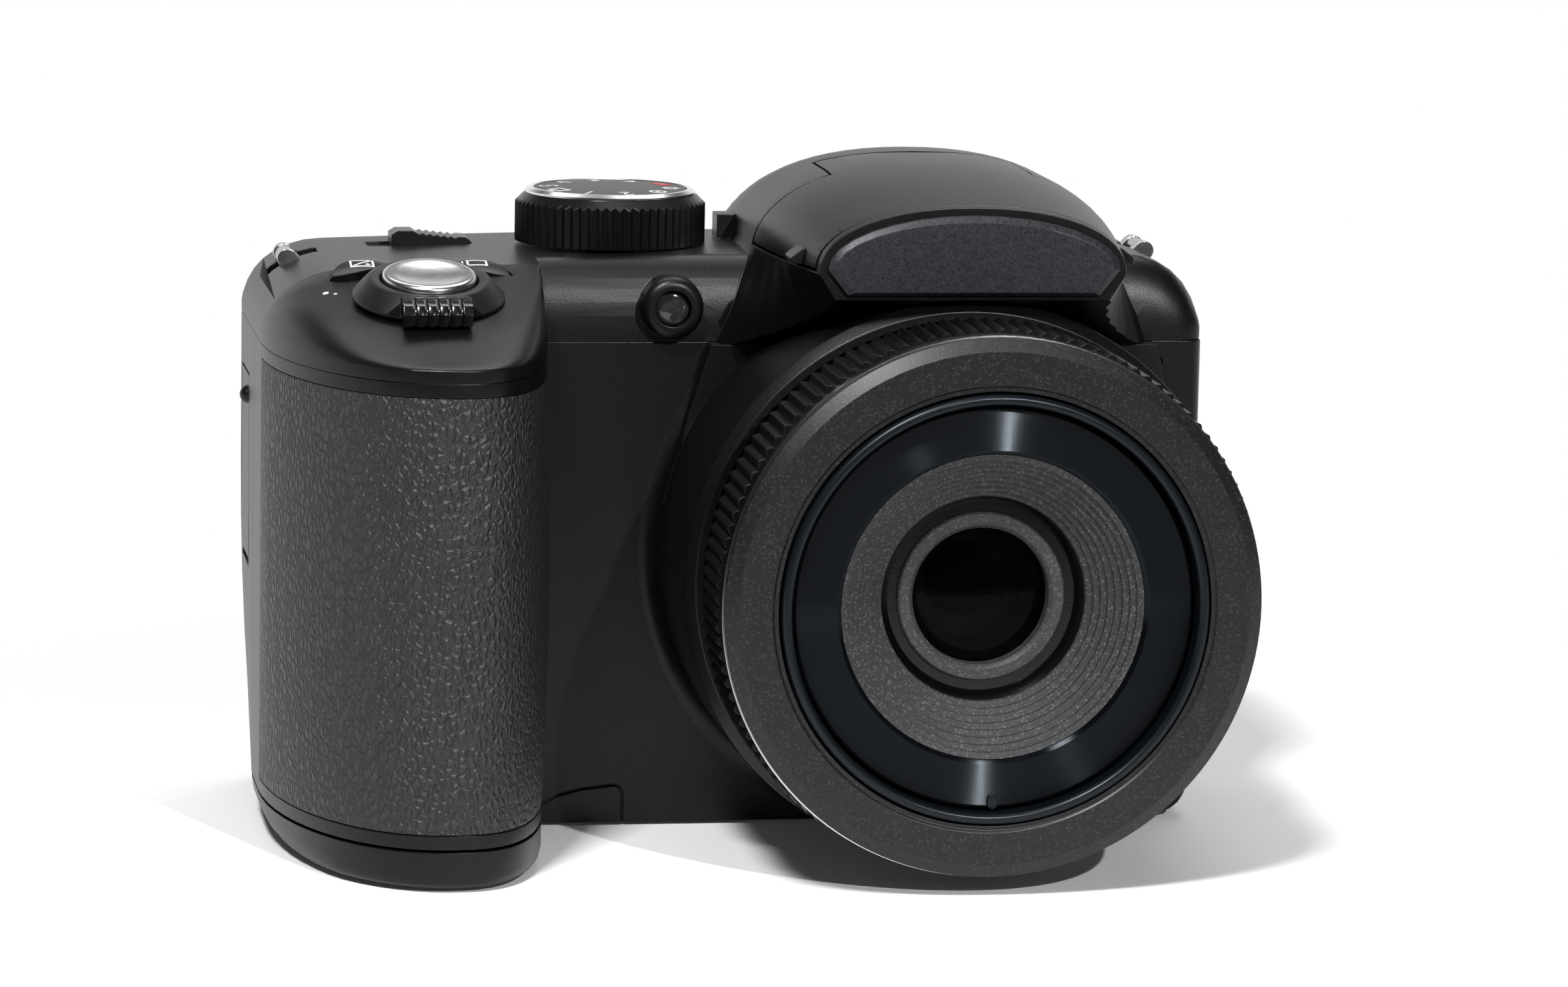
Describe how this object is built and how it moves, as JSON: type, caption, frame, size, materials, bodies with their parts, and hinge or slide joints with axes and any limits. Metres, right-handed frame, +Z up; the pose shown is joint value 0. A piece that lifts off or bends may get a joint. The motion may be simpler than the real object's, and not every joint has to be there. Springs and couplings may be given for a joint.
{
  "type": "bridge camera",
  "caption": "Bridge camera with a telescoping zoom lens, deep rubber grip, hump with a lifting flash, mode dial, tilted shutter button and a hinged battery door.",
  "frame": {"origin": "mouth of the tripod socket in the base, under the lens axis", "axes": "+Z up, the lens looks along -Y, the hand grip is at -X"},
  "size_m": [0.1194, 0.082, 0.083],
  "materials": {
    "shell_black": "fine matte texture",
    "control_black": "satin, ribbed",
    "lens_black": "satin",
    "barrel_blue_black": "anodised, satin",
    "panel_satin": "satin with fine sparkle",
    "grip_rubber": "leather grain",
    "seal_felt": "felt",
    "bright_metal": "polished",
    "nickel": "plated",
    "steel": "plain",
    "brass": "plain",
    "baffle_grey": "matte, ridged",
    "retainer_grey": "bead blasted",
    "coated_glass": "coated",
    "lamp_clear": "clear, smoked",
    "flash_clear": "clear, ribbed",
    "lamp_silver": "mirror bright",
    "screen_black": "hard-coated",
    "screen_panel": "panel",
    "board_green": "circuit board",
    "chip_dark": "chip",
    "cell_wrap": "printed film, bare",
    "capacitor_wrap": "film",
    "cradle_black": "plain",
    "card_blue": "plain, bare",
    "record_red": "plain"
  },
  "bodies": {
    "casing": {"front_shell": "shell_black", "grip_shell": "shell_black", "grip_rubber": "grip_rubber", "rear_shell": "shell_black", "top_cover": "shell_black", "hood_panel": "panel_satin", "thumb_rest": "grip_rubber", "lamp_lens": "lamp_clear", "strap_lugs": "nickel", "tripod_insert": "brass", "case_screws": "steel", "lens_housing": "lens_black", "knurled_ring": "lens_black", "trim_ring": "bright_metal", "front_ring": "lens_black", "barrel_seal": "seal_felt", "rear_element": "coated_glass", "image_sensor": "chip_dark", "sensor_board": "board_green", "zoom_drive": "steel", "flash_board": "board_green", "flash_capacitor": "capacitor_wrap", "top_board": "board_green", "lcd_panel": "screen_panel", "lcd_window": "screen_black", "main_board": "board_green", "battery_cells": "cell_wrap", "battery_cradle": "cradle_black", "battery_contacts": "brass", "card_socket": "steel", "memory_card": "card_blue", "usb_socket": "steel"},
    "zoom_outer": {"zoom_barrel_outer": "barrel_blue_black"},
    "zoom_inner": {"zoom_barrel_inner": "barrel_blue_black", "face_ring": "barrel_blue_black", "lens_baffle": "baffle_grey", "lens_retainer": "retainer_grey", "front_element": "coated_glass"},
    "dial": {"mode_dial": "control_black", "dial_plate": "bright_metal"},
    "shutter": {"shutter_button": "bright_metal"},
    "lever": {"zoom_lever": "control_black"},
    "slider": {"power_slider": "control_black"},
    "drive_key": {"drive_button": "control_black"},
    "exposure_key": {"exposure_button": "control_black"},
    "flash": {"flash_lid": "shell_black", "flash_lamp": "lamp_silver", "flash_window": "flash_clear", "flash_pin": "steel"},
    "door": {"battery_door": "shell_black", "door_contacts": "brass", "door_pin": "steel"},
    "latch": {"door_latch": "control_black"},
    "cover": {"terminal_cover": "shell_black"},
    "record_key": {"record_button": "record_red"},
    "menu_key": {"menu_button": "control_black"},
    "play_key": {"play_button": "control_black"},
    "delete_key": {"delete_button": "control_black"},
    "pad": {"pad_ring": "control_black"},
    "ok_key": {"ok_button": "control_black"}
  },
  "joints": [
    {"name": "zoom_outer_slide", "type": "slide", "parent": "casing", "child": "zoom_outer", "axis": [0, -1, 0], "range_m": [0, 0.02]},
    {"name": "zoom_inner_slide", "type": "slide", "parent": "casing", "child": "zoom_inner", "axis": [0, -1, 0], "range_m": [0, 0.038]},
    {"name": "mode_dial_turn", "type": "hinge", "parent": "casing", "child": "dial", "pos_m": [-0.0383, 0.0004, 0.07094], "axis": [0, 0, 1], "continuous": true},
    {"name": "shutter_press", "type": "slide", "parent": "casing", "child": "shutter", "axis": [0, 0.2079, -0.9781], "range_m": [0, 0.0012], "stiffness_N_per_m": 800, "springref_m": -0.001},
    {"name": "zoom_lever_turn", "type": "hinge", "parent": "casing", "child": "lever", "pos_m": [-0.0646, -0.032, 0.06773], "axis": [0, -0.2079, 0.9781], "range_deg": [-25, 25], "stiffness_Nm_per_rad": 0.05},
    {"name": "power_slide", "type": "slide", "parent": "casing", "child": "slider", "axis": [-1, 0, 0], "range_m": [0, 0.0026], "stiffness_N_per_m": 300, "springref_m": -0.001},
    {"name": "drive_press", "type": "slide", "parent": "casing", "child": "drive_key", "axis": [0, 0.2079, -0.9781], "range_m": [0, 0.0007], "stiffness_N_per_m": 800, "springref_m": -0.0005},
    {"name": "exposure_press", "type": "slide", "parent": "casing", "child": "exposure_key", "axis": [0, 0.2079, -0.9781], "range_m": [0, 0.0007], "stiffness_N_per_m": 800, "springref_m": -0.0005},
    {"name": "flash_lift", "type": "hinge", "parent": "casing", "child": "flash", "pos_m": [0, -0.005, 0.079], "axis": [-1, 0, 0], "range_deg": [0, 40]},
    {"name": "battery_door_swing", "type": "hinge", "parent": "casing", "child": "door", "pos_m": [-0.0401, 0, 0.0021], "axis": [0, -1, 0], "range_deg": [0, 90]},
    {"name": "door_latch_slide", "type": "slide", "parent": "door", "child": "latch", "axis": [1, 0, 0], "range_m": [0, 0.0025], "stiffness_N_per_m": 200, "springref_m": -0.001},
    {"name": "terminal_cover_swing", "type": "hinge", "parent": "casing", "child": "cover", "pos_m": [-0.0824, 0.006, 0.0312], "axis": [0, -1, 0], "range_deg": [0, 90]},
    {"name": "record_press", "type": "slide", "parent": "casing", "child": "record_key", "axis": [0, -1, 0], "range_m": [0, 0.0007], "stiffness_N_per_m": 800, "springref_m": -0.0005},
    {"name": "menu_press", "type": "slide", "parent": "casing", "child": "menu_key", "axis": [0, -1, 0], "range_m": [0, 0.0007], "stiffness_N_per_m": 800, "springref_m": -0.0005},
    {"name": "play_press", "type": "slide", "parent": "casing", "child": "play_key", "axis": [0, -1, 0], "range_m": [0, 0.0007], "stiffness_N_per_m": 800, "springref_m": -0.0005},
    {"name": "delete_press", "type": "slide", "parent": "casing", "child": "delete_key", "axis": [0, -1, 0], "range_m": [0, 0.0007], "stiffness_N_per_m": 800, "springref_m": -0.0005},
    {"name": "pad_press", "type": "slide", "parent": "casing", "child": "pad", "axis": [0, -1, 0], "range_m": [0, 0.0007], "stiffness_N_per_m": 800, "springref_m": -0.0005},
    {"name": "ok_press", "type": "slide", "parent": "casing", "child": "ok_key", "axis": [0, -1, 0], "range_m": [0, 0.0007], "stiffness_N_per_m": 800, "springref_m": -0.0005}
  ],
  "couplings": [
    {"joint": "zoom_inner_slide", "follows": "zoom_outer_slide", "ratio": 1.9}
  ]
}
